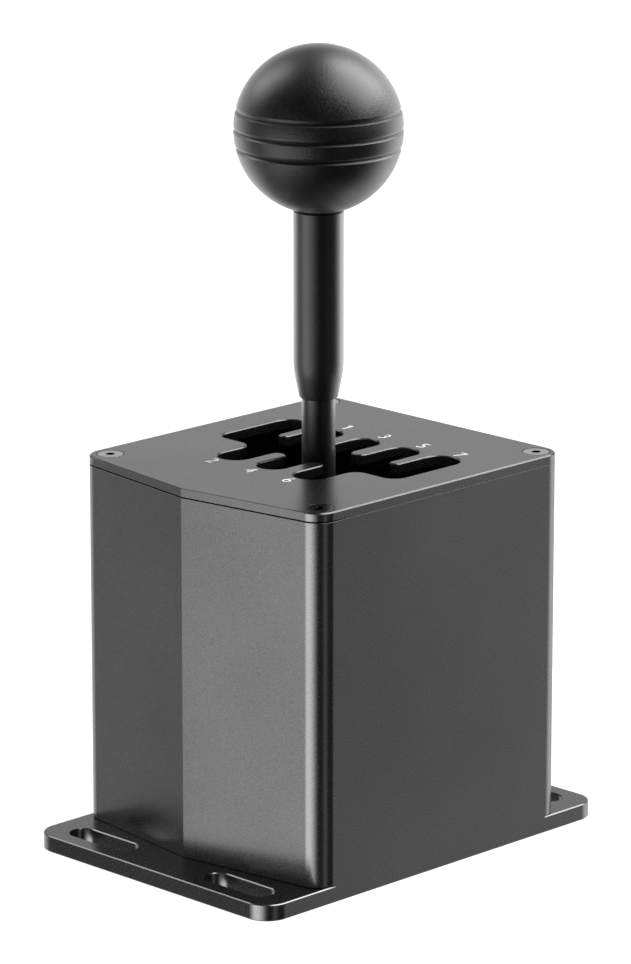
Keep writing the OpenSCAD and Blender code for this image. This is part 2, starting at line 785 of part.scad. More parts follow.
module board_standoffs() color(bare_alu)
    for (p = board_points) translate([p[0], p[1], base_t]) difference() {
        cylinder(r = standoff_r, h = standoff_h);
        translate([0, 0, -over]) cylinder(r = board_screw_d / 2 + run, h = standoff_h + 2 * over);
    }

module board_screws() color(steel)
    for (p = board_points) translate([p[0], p[1], board_top]) difference() {
        union() {
            cylinder(r = board_screw_head_r, h = board_screw_head_t);
            translate([0, 0, -board_t - standoff_h - base_t / 2])
                cylinder(d = board_screw_d, h = board_t + standoff_h + base_t / 2);
        }
        translate([0, 0, board_screw_head_t / 2])
            cylinder(r = board_screw_head_r / 2, h = board_screw_head_t, $fn = 6);
    }

module lead_headers() color(header_white)
    for (y = [sensor_header_y, main_header_y])
        translate([-header_w / 2, y, board_top]) cube([header_w, header_len, header_h]);

module sensor_lead() color(lead_grey)
    for (i = [1:lead_wires])
        translate([(i - (lead_wires + 1) / 2) * lead_pitch, 0, lead_z])
            along_y(sensor_header_y + header_len, main_header_y, lead_wire_d / 2);

module usb_socket() color(steel) translate([0, socket_y, socket_z]) rotate([90, 0, 0]) {
    difference() {
        linear_extrude(socket_len) stadium(socket_w, socket_h);
        translate([0, 0, -over]) linear_extrude(socket_len - socket_back + over)
            stadium(socket_w - 2 * socket_wall, socket_h - 2 * socket_wall);
    }
    translate([0, 0, socket_len / 2])
        cube([socket_w - socket_h + tongue_t, tongue_t, socket_len - socket_back], center = true);
}

base_plate();
housing();
gate_plate();
gate_screws();
housing_screws();
front_pillar();
rear_pillar();
pillar_screws();
bearing_outer_rings();
bearing_inner_rings();
bearing_balls();
select_cradle();
front_axle();
rear_axle();
axle_clips();
detent_ball();
detent_spring();
detent_adjuster();
trunnion_bushes();
trunnion_pins();
pin_clips();
lever_hub();
hub_set_screws();
lever_rod();
lever_sleeve();
knob();
knob_insert();
magnet_holder();
sensor_magnet();
spring_posts();
left_spring();
right_spring();
sensor_board();
sensor_chip();
main_board();
controller_chip();
usb_socket();
board_standoffs();
board_screws();
lead_headers();
sensor_lead();
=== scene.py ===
import json
import math

import bmesh
import bpy
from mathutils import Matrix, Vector


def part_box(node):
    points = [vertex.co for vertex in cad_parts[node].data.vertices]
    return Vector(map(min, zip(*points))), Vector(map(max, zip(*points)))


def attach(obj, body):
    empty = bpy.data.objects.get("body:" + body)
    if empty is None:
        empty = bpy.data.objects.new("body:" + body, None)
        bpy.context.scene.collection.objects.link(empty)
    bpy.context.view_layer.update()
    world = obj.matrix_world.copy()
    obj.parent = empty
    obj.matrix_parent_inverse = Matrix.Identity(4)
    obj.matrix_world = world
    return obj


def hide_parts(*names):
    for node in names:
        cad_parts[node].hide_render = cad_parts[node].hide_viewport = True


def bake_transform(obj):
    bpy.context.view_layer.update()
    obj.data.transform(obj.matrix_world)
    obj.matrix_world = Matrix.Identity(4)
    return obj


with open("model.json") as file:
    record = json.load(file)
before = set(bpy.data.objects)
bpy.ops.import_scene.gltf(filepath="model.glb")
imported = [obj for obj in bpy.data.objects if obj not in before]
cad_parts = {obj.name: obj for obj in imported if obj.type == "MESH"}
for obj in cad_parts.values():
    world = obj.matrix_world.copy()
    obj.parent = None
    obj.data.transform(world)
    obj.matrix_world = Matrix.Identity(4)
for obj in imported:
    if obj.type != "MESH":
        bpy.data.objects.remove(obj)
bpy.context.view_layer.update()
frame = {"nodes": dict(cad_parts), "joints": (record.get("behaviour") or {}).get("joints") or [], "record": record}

MM = 0.001

# Base plate and housing
BASE_CORNER_R = 7.5 * MM
SLOT_LENGTH = 26 * MM
SLOT_WIDTH = 8.2 * MM
SLOT_X = 29 * MM
SLOT_Y = 61.9 * MM
HOUSE_CORNER_R = 6.5 * MM
RIDGE = 7.1 * MM
WALL = 3.5 * MM
BOSS_R = 5.2 * MM
CORNER_X = 44.1 * MM
CORNER_FRONT = -43.7 * MM
CORNER_BACK = 47.8 * MM
USB_Z = 11.2 * MM

# Width, height and depth of the inlet's two steps
USB_RECESS = (14 * MM, 8 * MM, 2.5 * MM)
USB_HOLE = (9.5 * MM, 3.8 * MM, WALL + MM)

# Countersunk screws and the other holes of the base plate
SCREW_HEAD_R = 4 * MM
SCREW_SHANK_R = 2 * MM
SCREW_HEAD_H = 2 * MM
SCREW_LENGTH = 12 * MM
SCREW_SINK = 0.05 * MM
SCREW_POINT = 0.3 * MM
HEX_R = 1.44 * MM
HEX_DEPTH = 2.2 * MM
HOLE_GAP = 0.05 * MM
HEAD_GAP = 0.28 * MM
PILLAR_SCREW_X = 15.5 * MM
PILLAR_SCREW_Y = 32.2 * MM
BOARD_HOLE_R = 1.3 * MM
BOARD_HOLES = [(sx * 24 * MM, 43.45 * MM) for sx in (-1, 1)]
BOARD_HOLES += [(sx * 11 * MM, sy * 9 * MM) for sx in (-1, 1) for sy in (-1, 1)]
SPRING_X = 30 * MM
POST_HOLE_R = 2.52 * MM
CORNER_PLACES = [(sx * CORNER_X, y) for sx in (-1, 1) for y in (CORNER_FRONT, CORNER_BACK)]
PILLAR_PLACES = [(sx * PILLAR_SCREW_X, sy * PILLAR_SCREW_Y) for sx in (-1, 1) for sy in (-1, 1)]

# Gate
INNER_COLUMN = 16 * MM
OUTER_COLUMN = 31.4 * MM
NEUTRAL_HALF = 6.2 * MM
LAND_R = 4.5 * MM
TIP_FLAT = 0.2 * MM
SIDE_GAP = 0.12 * MM
END_GAP = 0.4 * MM
FINGER_BACK = 1 * MM
NUMBER_HEIGHT = 4.5 * MM
STROKE_OFFSET = -0.012
NUMBER_LEFT = 0.5 * MM
NUMBER_FORWARD_Y = 28.9 * MM
NUMBER_DRIVER_Y = -27.9 * MM
INK_DEPTH = 0.02 * MM

# Outline of the figure one, before it is scaled
ONE_CORNERS = [(-0.042, 0), (0.042, 0), (0.042, 0.7), (-0.03, 0.7), (-0.17, 0.6), (-0.17, 0.51),
               (-0.055, 0.57)]

# Lever
ROD_R = 5 * MM
ROD_RIM = 0.5 * MM
THREAD_R = 4 * MM
SLEEVE_TIP_R = 5.75 * MM
TAPER_LENGTH = 8.9 * MM
SHOULDER_EASE = 2.5 * MM
GROOVE_PITCH = 5.6 * MM
GROOVE_RISE = 0.25 * MM
GROOVE_HALF = 1 * MM
KNOB_BORE_R = 5.52 * MM
KNOB_BORE_DEPTH = 18.05 * MM

# A groove's section from below: rise from its middle and depth, in millimetres
GROOVE_CUT = [(-0.95, 0), (-0.35, 0.78), (-0.22, 0.72), (0, 0.46), (0.3, 0.22), (0.6, 0.08), (1, 0)]

# Centring springs
COIL_R = 5.3 * MM
WIRE_R = 0.7 * MM
COIL_TURNS = 7
COIL_STEPS = 32
WIRE_STEPS = 16

# Small edges and smoothness
GATE_CHAMFER = 0.38 * MM
RIM_ROUND = 0.37 * MM
RIM_FLATNESS = 0.34
BASE_CHAMFER = 0.27 * MM
SEAM_CHAMFER = 0.3 * MM
FRONT_SEAM = 0.45 * MM
FINE_CHAMFER = 0.12 * MM
HAIR_CHAMFER = 0.07 * MM
SHELL_CHAMFER = 0.045 * MM
ROUND_STEPS = 8
CORNER_STEPS = 16
SLOT_STEPS = 10
TURN_STEPS = 96
HOLE_STEPS = 48
EASE_STEPS = 12
KNOB_STEPS = 90
CREASE = math.radians(12)
SHARP = math.radians(32)
HAIR = 0.001 * MM
SAME = 0.01 * MM

# The lever's tilt in gear, and the gate's slots that leave room for it
ENGAGE = next(joint for joint in frame["joints"] if joint["name"] == "engage")
ENGAGE_SLOPE = math.tan(math.radians(ENGAGE["range_deg"][1]))
GATE_LOW, GATE_HIGH = (corner.z - ENGAGE["pos_m"][2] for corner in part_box("gate_plate"))


def slot_half(column):
    """Half the width of a column's slot."""
    lean = abs(column) / ((GATE_LOW + GATE_HIGH) / 2)
    return (GATE_HIGH - GATE_LOW) / 2 * lean + ROD_R * math.hypot(1, lean) + SIDE_GAP


def slot_end(column):
    """Distance from the middle of the gate to the end of a column's slots."""
    rise = ENGAGE_SLOPE * math.hypot(1, abs(column) / ((GATE_LOW + GATE_HIGH) / 2))
    return GATE_HIGH * rise + ROD_R * math.hypot(1, rise) + END_GAP


# Hand tools

def start(name, primitive, **sizes):
    """Adds a primitive under its name, alone in the selection, and opens it for editing."""
    bpy.ops.object.select_all(action="DESELECT")
    getattr(bpy.ops.mesh, f"primitive_{primitive}_add")(**sizes)
    piece = bpy.context.object
    piece.name = name
    piece.data.name = name
    bpy.ops.object.mode_set(mode="EDIT")
    bpy.ops.mesh.select_mode(type="VERT")
    return piece


def close():
    """Leaves edit mode with doubles merged, faces outwards and the place in the mesh."""
    bpy.ops.mesh.select_all(action="SELECT")
    bpy.ops.mesh.remove_doubles(threshold=HAIR)
    bpy.ops.mesh.normals_make_consistent(inside=False)
    bpy.ops.object.mode_set(mode="OBJECT")
    bpy.ops.object.transform_apply(location=True, rotation=True, scale=True)


def pick(kind, wanted, sharp=False):
    """Selects the vertices, edges or faces of the open mesh whose middle passes the test.

    Sharp leaves out the edges that turn by little."""
    bpy.ops.mesh.select_mode(type=kind)
    bpy.ops.mesh.select_all(action="DESELECT")
    shape = bmesh.from_edit_mesh(bpy.context.object.data)
    parts = {"VERT": shape.verts, "EDGE": shape.edges, "FACE": shape.faces}[kind]
    for part in parts:
        corners = [part.co] if kind == "VERT" else [corner.co for corner in part.verts]
        chosen = wanted(sum(corners, Vector()) / len(corners))
        part.select_set(chosen and (not sharp or part.calc_face_angle(0) > SHARP))
    shape.select_flush_mode()
    bmesh.update_edit_mesh(bpy.context.object.data)


def near(a, b):
    """Whether two measures are the same but for rounding."""
    return abs(a - b) < SAME


def only(piece):
    """Makes a piece the only one selected, and the active one."""
    bpy.ops.object.select_all(action="DESELECT")
    piece.select_set(True)
    bpy.context.view_layer.objects.active = piece


def extrude(x=0, y=0, z=0):
    """Draws out what is selected."""
    bpy.ops.mesh.extrude_region_move(TRANSFORM_OT_translate={"value": (x, y, z)})


def draw(points):
    """Shrinks the open mesh to one vertex and draws a line of edges through points with it."""
    bpy.ops.mesh.merge(type="CENTER")
    here = Vector((0, 0, 0))
    for index, there in enumerate(map(Vector, points)):
        if index:
            extrude(*(there - here))
        else:
            bpy.ops.transform.translate(value=there)
        here = there
    bpy.ops.mesh.select_all(action="SELECT")


def round_corners(radius, steps, wanted):
    """Rounds the right-angled corners of a flat outline that pass the test."""
    pick("VERT", wanted)
    bpy.ops.mesh.bevel(offset=radius, segments=steps, affect="VERTICES", profile=0.5)


def block(name, low, high):
    """A box between two corners, open for editing."""
    piece = start(name, "cube", size=1)
    low, high = Vector(low), Vector(high)
    bpy.ops.transform.resize(value=high - low, center_override=(0, 0, 0))
    bpy.ops.transform.translate(value=(low + high) / 2)
    return piece


def round_edges_along(axis, middle, radius, steps):
    """Rounds the edges of an open box that run along one axis, past its middle."""
    pick("EDGE", lambda at: near(at[axis], middle))
    bpy.ops.mesh.bevel(offset=radius, segments=steps, affect="EDGES", profile=0.5)


def slot_slug(name, axis, low, high):
    """A box between two corners with round ends, which cuts a slot along an axis."""
    slug = block(name, low, high)
    width = min(high[side] - low[side] for side in range(3) if side != axis)
    round_edges_along(axis, (low[axis] + high[axis]) / 2, width / 2 - HAIR, CORNER_STEPS)
    close()
    return slug


def drill(x, y, low_z, high_z, radius):
    """A round slug, which cuts a straight hole."""
    slug = start("drill", "cylinder", vertices=HOLE_STEPS, radius=radius, depth=high_z - low_z,
                 location=(x, y, (low_z + high_z) / 2))
    close()
    return slug


def turned(name, profile, x=0, y=0, steps=TURN_STEPS):
    """Draws an outline of (radius, height) points and spins it round an upright axis."""
    piece = start(name, "plane", size=MM)
    draw((radius, 0, height) for radius, height in profile)
    bpy.ops.mesh.spin(steps=steps, angle=math.tau, center=(0, 0, 0), axis=(0, 0, 1))
    bpy.ops.mesh.select_all(action="SELECT")
    bpy.ops.transform.translate(value=(x, y, 0))
    close()
    return piece


def cut(piece, tool, operation="DIFFERENCE"):
    """Takes a tool's shape from a piece, or joins it on, and puts the tool away."""
    only(piece)
    bpy.ops.object.modifier_add(type="BOOLEAN")
    work = piece.modifiers[-1]
    work.object = tool
    work.operation = operation
    work.solver = "EXACT"
    bpy.ops.object.modifier_apply(modifier=work.name)
    bpy.data.objects.remove(tool)


def smooth(piece, angle=CREASE):
    """Shades round stretches round and flat stretches flat, with a crease past the angle."""
    only(piece)
    bpy.ops.object.shade_smooth_by_angle(angle=angle)
    bpy.ops.object.modifier_add(type="WEIGHTED_NORMAL")
    weights = piece.modifiers[-1]
    weights.keep_sharp = True
    bpy.ops.object.modifier_apply(modifier=weights.name)


def chamfer(piece, width, wanted, steps=1, profile=0.5):
    """Breaks the sharp edges whose middle passes the test, flat or rounded in steps."""
    only(piece)
    bpy.ops.object.mode_set(mode="EDIT")
    pick("EDGE", wanted, sharp=True)
    bpy.ops.mesh.bevel(offset=width, segments=steps, affect="EDGES", profile=profile,
                       clamp_overlap=False)
    bpy.ops.object.mode_set(mode="OBJECT")


def copy_to(piece, name, x, y):
    """A copy with its own mesh, moved across in its mesh."""
    only(piece)
    bpy.ops.object.duplicate(linked=False)
    twin = bpy.context.object
    twin.name = name
    twin.data.name = name
    bpy.ops.transform.translate(value=(x, y, 0))
    bpy.ops.object.transform_apply(location=True, rotation=True, scale=True)
    return twin


def seat(piece, body, slot, *nodes):
    """Gives a piece its finish unless it has one, puts it on its body and hides the solids that it stands for."""
    if not piece.data.materials:
        piece.data.materials.append(FINISHES[slot])
    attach(piece, body)
    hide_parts(*nodes)


def paint(piece, material, wanted):
    """Gives the faces whose middle passes the test another finish; every use here paints shade with a darker
    finish.
    """
    only(piece)
    piece.data.materials.append(material)
    piece.active_material_index = len(piece.data.materials) - 1
    bpy.ops.object.mode_set(mode="EDIT")
    pick("FACE", wanted)
    bpy.ops.object.material_slot_assign()
    bpy.ops.object.mode_set(mode="OBJECT")


# Finishes

CLOUD_SHARE = 0.3
GRAIN_RANGE = (0.3, 0.7)


def grain_group():
    """Fine blasted or moulded grain, and soft clouds of tone, both fixed to the piece."""
    group = bpy.data.node_groups.new("surface_grain", "ShaderNodeTree")
    for socket, way in (("Grains per metre", "INPUT"), ("Clouds per metre", "INPUT"),
                        ("Grain", "OUTPUT"), ("Cloud", "OUTPUT")):
        group.interface.new_socket(socket, in_out=way, socket_type="NodeSocketFloat")
    inlet = group.nodes.new("NodeGroupInput")
    outlet = group.nodes.new("NodeGroupOutput")
    place = group.nodes.new("ShaderNodeTexCoord")
    for socket, scale, detail in (("Grain", "Grains per metre", 2), ("Cloud", "Clouds per metre", 4)):
        noise = group.nodes.new("ShaderNodeTexNoise")
        noise.inputs["Detail"].default_value = detail
        group.links.new(place.outputs["Object"], noise.inputs["Vector"])
        group.links.new(inlet.outputs[scale], noise.inputs["Scale"])
        group.links.new(noise.outputs["Fac"], outlet.inputs[socket])
    return group


GRAIN = grain_group()


def finish(name, tones, metal, gloss, grains, clouds, relief, rim=None):
    """A finish whose tone drifts with the clouds and whose gloss and relief follow the grain.

    A rim's level and steepness make it gleam more at a slant, as an oxide skin does."""
    made = bpy.data.materials.new(name)
    made.use_nodes = True
    nodes, links = made.node_tree.nodes, made.node_tree.links
    shader = nodes["Principled BSDF"]
    shader.inputs["Metallic"].default_value = metal
    grain = nodes.new("ShaderNodeGroup")
    grain.node_tree = GRAIN
    grain.inputs["Grains per metre"].default_value = grains
    grain.inputs["Clouds per metre"].default_value = clouds
    tone = nodes.new("ShaderNodeMix")
    tone.data_type = "RGBA"
    tone.inputs["A"].default_value = (*tones[0], 1)
    tone.inputs["B"].default_value = (*tones[1], 1)
    share = nodes.new("ShaderNodeMix")
    share.inputs["Factor"].default_value = CLOUD_SHARE
    links.new(grain.outputs["Grain"], share.inputs["A"])
    links.new(grain.outputs["Cloud"], share.inputs["B"])
    links.new(share.outputs["Result"], tone.inputs["Factor"])
    colour = tone.outputs["Result"]
    if rim:
        slant = nodes.new("ShaderNodeLayerWeight")
        slant.inputs["Blend"].default_value = 0.5
        steep = nodes.new("ShaderNodeMath")
        steep.operation = "POWER"
        steep.inputs[1].default_value = rim[1]
        gleam = nodes.new("ShaderNodeMix")
        gleam.data_type = "RGBA"
        gleam.inputs["B"].default_value = (*[rim[0]] * 3, 1)
        links.new(slant.outputs["Facing"], steep.inputs[0])
        links.new(steep.outputs["Value"], gleam.inputs["Factor"])
        links.new(colour, gleam.inputs["A"])
        colour = gleam.outputs["Result"]
    links.new(colour, shader.inputs["Base Color"])
    rough = nodes.new("ShaderNodeMapRange")
    rough.inputs["From Min"].default_value = GRAIN_RANGE[0]
    rough.inputs["From Max"].default_value = GRAIN_RANGE[1]
    rough.inputs["To Min"].default_value = gloss[0]
    rough.inputs["To Max"].default_value = gloss[1]
    links.new(grain.outputs["Grain"], rough.inputs["Value"])
    links.new(rough.outputs["Result"], shader.inputs["Roughness"])
    bump = nodes.new("ShaderNodeBump")
    bump.inputs["Strength"].default_value = 1
    bump.inputs["Distance"].default_value = relief
    links.new(grain.outputs["Grain"], bump.inputs["Height"])
    links.new(bump.outputs["Normal"], shader.inputs["Normal"])
    return made


# Name, dark and light tone, metal or not, smallest and largest roughness, grains and clouds per metre,
# relief, and the rim of a skin that has one
FINISHES = {
    "dark_anodised": finish("dark_anodised_aluminium",
                            ((0.092, 0.092, 0.094), (0.305, 0.305, 0.309)), 1,
                            (0.22, 0.28), 2400, 25, 0.005 * MM),
    "black_anodised": finish("black_anodised_aluminium",
                             ((0.015, 0.015, 0.0155), (0.059, 0.059, 0.06)), 1,
                             (0.32, 0.42), 2300, 40, 0.06 * MM, (0.8, 1.6)),
    "blackened_steel": finish("blackened_steel", ((0.02, 0.02, 0.02), (0.05, 0.05, 0.05)), 1,
                              (0.3, 0.38), 2200, 60, 0.01 * MM, (0.75, 1.6)),
    "zinc_screw": finish("zinc_plated_steel", ((0.39, 0.39, 0.39), (0.49, 0.49, 0.49)), 1,
                         (0.1, 0.16), 3000, 200, 0.001 * MM),
    "machined_alloy": finish("machined_alloy", ((0.5, 0.5, 0.51), (0.6, 0.6, 0.61)), 1,
                             (0.28, 0.4), 1500, 40, 0.004 * MM),
    "bearing_steel": finish("bearing_steel", ((0.55, 0.55, 0.56), (0.62, 0.62, 0.62)), 1,
                            (0.12, 0.2), 1200, 60, 0.001 * MM),
    "spring_steel": finish("spring_steel", ((0.4, 0.4, 0.41), (0.5, 0.5, 0.5)), 1,
                           (0.2, 0.32), 1500, 80, 0.002 * MM),
    "bronze": finish("sintered_bronze", ((0.5, 0.3, 0.13), (0.6, 0.37, 0.17)), 1,
                     (0.35, 0.5), 3200, 120, 0.006 * MM),
    "nickel": finish("bright_nickel", ((0.6, 0.57, 0.52), (0.68, 0.65, 0.6)), 1,
                     (0.12, 0.2), 1500, 90, 0.001 * MM),
    "circuit_board": finish("solder_mask", ((0.004, 0.05, 0.018), (0.008, 0.08, 0.03)), 0,
                            (0.25, 0.35), 900, 150, 0.004 * MM),
    "chip_plastic": finish("chip_plastic", ((0.012, 0.012, 0.013), (0.02, 0.02, 0.02)), 0,
                           (0.4, 0.55), 5000, 150, 0.006 * MM),
    "header_plastic": finish("header_plastic", ((0.7, 0.68, 0.62), (0.78, 0.76, 0.7)), 0,
                             (0.35, 0.5), 3000, 120, 0.005 * MM),
    "lead_jacket": finish("lead_jacket", ((0.012, 0.012, 0.012), (0.022, 0.022, 0.022)), 0,
                          (0.4, 0.55), 2500, 120, 0.006 * MM),
}
INK = finish("gate_ink", ((0.86, 0.86, 0.85), (0.92, 0.92, 0.91)), 0,
             (0.45, 0.6), 3500, 300, 0.002 * MM)
KNOB_COAT = finish("satin_black_knob", ((0.004, 0.004, 0.0042), (0.072, 0.072, 0.073)), 1,
                   (0.35, 0.45), 2000, 40, 0.062 * MM, (0.6, 2.0))
# The dark anodised finish at about half its tone, painted as shade on the top chamfers and rounded slot rims to
# dim their highlights
EDGE = finish("edge_painted_shade", ((0.048, 0.048, 0.049), (0.158, 0.158, 0.159)), 1,
              (0.22, 0.28), 2400, 25, 0.005 * MM)
# Near-black finish painted as shade into the gate's screw holes, the hexagon sockets, the front seam, the fine
# front edge and the sleeve's foot
PAINTED_SHADE = finish("painted_recess_shade", ((0.01, 0.01, 0.01), (0.02, 0.02, 0.02)), 1,
                (0.3, 0.4), 2000, 60, 0.004 * MM)


# Camera, floor and light

CAMERA_PLACE = (1.08012, -1.08556, 0.51408)
CAMERA_AZIMUTH = math.radians(44.89)
CAMERA_ELEVATION = math.radians(14.80)
CAMERA_LENS = 198.13
CAMERA_SENSOR = 36
CAMERA_REACH = 60
AIM = Vector((0, 0, 0.12))
FLOOR_SIZE = 16
FLOOR_CUTS = 3
FLOOR_GLOW = 0.9
FLOOR_LIT = 0.25
AMBIENT = 0.6
PANEL_PEAK = 2.8
OVERHEAD = 0.075
SOFTBOX_DISTANCE = 1.2

# Softboxes by name: azimuth and elevation in degrees, width and height in metres, radiance
SOFTBOXES = [("right_rear_softbox", 139, 53, 1.25, 1.2, 4.9),
             ("left_softbox", -71, 45, 0.5, 0.8, 2.6)]

# Elevations in degrees where the studio's floor gives way to its low panels, those to its high panels,
# and those to the overhead
FLOOR_EDGE = (-50, -32)
HORIZON = (-5, 7)
PANEL_TOP = (17, 30)

# Levels of the studio's floor, low panels and high panels, by azimuth in degrees from the driver's side
# to the right
FLOOR_LEVELS = [(-180, 0.7), (-150, 0.25), (-110, 0.1), (-60, 0.1), (-40, 0.4), (0, 0.15), (30, 0.04),
                (120, 0.04), (150, 0.6), (180, 0.8)]
LOW_PANELS = [(-180, 1.2), (-165, 0.9), (-150, 0.72), (-135, 0.8), (-120, 1.1), (-90, 1.0), (-75, 1.0),
              (-67, 0.42), (-55, 0.25), (-51, 0.02), (-39, 0.02), (-35, 0.82), (-24, 1.1), (-18, 2.7),
              (8, 2.6), (20, 1.7), (34, 0.55), (43, 0.03), (68, 0.03), (82, 0.34), (96, 0.03),
              (130, 0.03), (139, 0.39), (146, 0.95), (159, 1.6), (180, 1.3)]
HIGH_PANELS = [(-180, 1.0), (-150, 0.72), (-120, 0.66), (-100, 0.48), (-75, 0.45), (-60, 0.22),
               (-30, 0.14), (100, 0.14), (130, 0.4), (150, 0.9), (168, 1.1), (180, 1.0)]


def toward(azimuth, elevation):
    """The direction at an azimuth from the driver's side to the right, and an elevation, in degrees."""
    azimuth, elevation = math.radians(azimuth), math.radians(elevation)
    flat = math.cos(elevation)
    return Vector((math.sin(azimuth) * flat, -math.cos(azimuth) * flat, math.sin(elevation)))


def add_camera():
    """A long lens, a little above the part and on the driver's right."""
    lens = bpy.data.cameras.new("camera")
    lens.lens = CAMERA_LENS
    lens.sensor_width = CAMERA_SENSOR
    lens.clip_end = CAMERA_REACH
    camera = bpy.data.objects.new("camera", lens)
    camera.location = CAMERA_PLACE
    camera.rotation_euler = (math.pi / 2 - CAMERA_ELEVATION, 0, CAMERA_AZIMUTH)
    bpy.context.scene.collection.objects.link(camera)
    bpy.context.scene.camera = camera


def add_softbox(name, azimuth, elevation, width, height, radiance):
    """A soft lamp that faces the object, as bright all over as its radiance."""
    lamp = bpy.data.lights.new(name, "AREA")
    lamp.shape = "RECTANGLE"
    lamp.size = width
    lamp.size_y = height
    lamp.energy = radiance * math.pi * width * height
    box = bpy.data.objects.new(name, lamp)
    way = toward(azimuth, elevation)
    box.location = AIM + way * SOFTBOX_DISTANCE
    box.rotation_euler = way.to_track_quat("Z", "Y").to_euler()
    box.visible_camera = False
    bpy.context.scene.collection.objects.link(box)


def add_world():
    """White to the camera, white panels with dark gaps to metal, and plain soft light on the rest."""
    world = bpy.data.worlds.new("studio")
    bpy.context.scene.world = world
    world.use_nodes = True
    nodes, links = world.node_tree.nodes, world.node_tree.links
    nodes.clear()

    def math_node(operation, *inputs):
        node = nodes.new("ShaderNodeMath")
        node.operation = operation
        for socket, value in zip(node.inputs, inputs):
            if isinstance(value, (int, float)):
                socket.default_value = value
            else:
                links.new(value, socket)
        return node.outputs["Value"]

    def background(colour, strength):
        node = nodes.new("ShaderNodeBackground")
        node.inputs["Strength"].default_value = strength
        if isinstance(colour, tuple):
            node.inputs["Color"].default_value = colour
        else:
            links.new(colour, node.inputs["Color"])
        return node.outputs["Background"]

    def blend(share, first, second):
        node = nodes.new("ShaderNodeMixShader")
        links.new(share, node.inputs[0])
        links.new(first, node.inputs[1])
        links.new(second, node.inputs[2])
        return node.outputs["Shader"]

    view = nodes.new("ShaderNodeTexCoord")
    way = nodes.new("ShaderNodeSeparateXYZ")
    links.new(view.outputs["Generated"], way.inputs["Vector"])
    azimuth = math_node("ARCTAN2", way.outputs["X"], math_node("MULTIPLY", way.outputs["Y"], -1.0))
    turn = math_node("MULTIPLY_ADD", azimuth, 1 / math.tau, 0.5)

    def ring(levels):
        """A ring of panels, from levels by azimuth."""
        ramp = nodes.new("ShaderNodeValToRGB")
        stops = ramp.color_ramp.elements
        for index, (degrees, level) in enumerate(levels):
            place = degrees / 360 + 0.5
            stop = stops[index] if index < 2 else stops.new(place)
            stop.position = place
            stop.color = (*[level / PANEL_PEAK] * 3, 1)
        links.new(turn, ramp.inputs["Fac"])
        return background(ramp.outputs["Color"], PANEL_PEAK)

    def above(low, high):
        """From 0 to 1 between two elevations, in degrees."""
        height = nodes.new("ShaderNodeMapRange")
        height.interpolation_type = "SMOOTHSTEP"
        height.inputs["From Min"].default_value = math.sin(math.radians(low))
        height.inputs["From Max"].default_value = math.sin(math.radians(high))
        links.new(way.outputs["Z"], height.inputs["Value"])
        return height.outputs["Result"]

    white = (1, 1, 1, 1)
    panels = blend(above(*FLOOR_EDGE), ring(FLOOR_LEVELS), ring(LOW_PANELS))
    panels = blend(above(*HORIZON), panels, ring(HIGH_PANELS))
    panels = blend(above(*PANEL_TOP), panels, background(white, OVERHEAD))
    path = nodes.new("ShaderNodeLightPath")
    backdrop = blend(path.outputs["Is Glossy Ray"], background(white, 1), panels)
    bounced = math_node("MAXIMUM", path.outputs["Is Glossy Ray"], path.outputs["Is Transmission Ray"])
    shown = math_node("MAXIMUM", path.outputs["Is Camera Ray"], bounced)
    surface = blend(shown, background(white, AMBIENT), backdrop)
    out = nodes.new("ShaderNodeOutputWorld")
    links.new(surface, out.inputs["Surface"])


def add_floor():
    """A pale sweep that glows white to the camera and keeps a faint shadow."""
    floor = start("floor", "plane", size=FLOOR_SIZE)
    bpy.ops.mesh.subdivide(number_cuts=FLOOR_CUTS)
    close()
    pale = bpy.data.materials.new("pale_sweep")
    pale.use_nodes = True
    nodes, links = pale.node_tree.nodes, pale.node_tree.links
    nodes.clear()
    lit = nodes.new("ShaderNodeBsdfDiffuse")
    lit.inputs["Color"].default_value = (FLOOR_LIT, FLOOR_LIT, FLOOR_LIT, 1)
    glow = nodes.new("ShaderNodeEmission")
    path = nodes.new("ShaderNodeLightPath")
    seen = nodes.new("ShaderNodeMath")
    seen.operation = "MULTIPLY"
    seen.inputs[1].default_value = FLOOR_GLOW
    links.new(path.outputs["Is Camera Ray"], seen.inputs[0])
    links.new(seen.outputs["Value"], glow.inputs["Strength"])
    both = nodes.new("ShaderNodeAddShader")
    links.new(lit.outputs["BSDF"], both.inputs[0])
    links.new(glow.outputs["Emission"], both.inputs[1])
    out = nodes.new("ShaderNodeOutputMaterial")
    links.new(both.outputs["Shader"], out.inputs["Surface"])
    floor.data.materials.append(pale)
    floor.visible_glossy = False


add_camera()
add_world()
add_floor()
for softbox in SOFTBOXES:
    add_softbox(*softbox)
bpy.context.scene.view_settings.view_transform = "Standard"


# Base plate, housing and gate plate

def countersink(x, y, face_z, up):
    """A tool for a countersunk hole in a face that looks up (1) or down (-1)."""
    over = face_z + up * MM
    end = face_z - up * (SCREW_LENGTH + MM)
    hole_r = SCREW_SHANK_R + HOLE_GAP
    head_r = SCREW_HEAD_R + HEAD_GAP
    neck = face_z - up * (SCREW_HEAD_H + SCREW_SINK)
    outline = [(0, over), (head_r, over), (head_r, face_z), (hole_r, neck), (hole_r, end), (0, end)]
    return turned("countersink", outline, x, y, HOLE_STEPS)


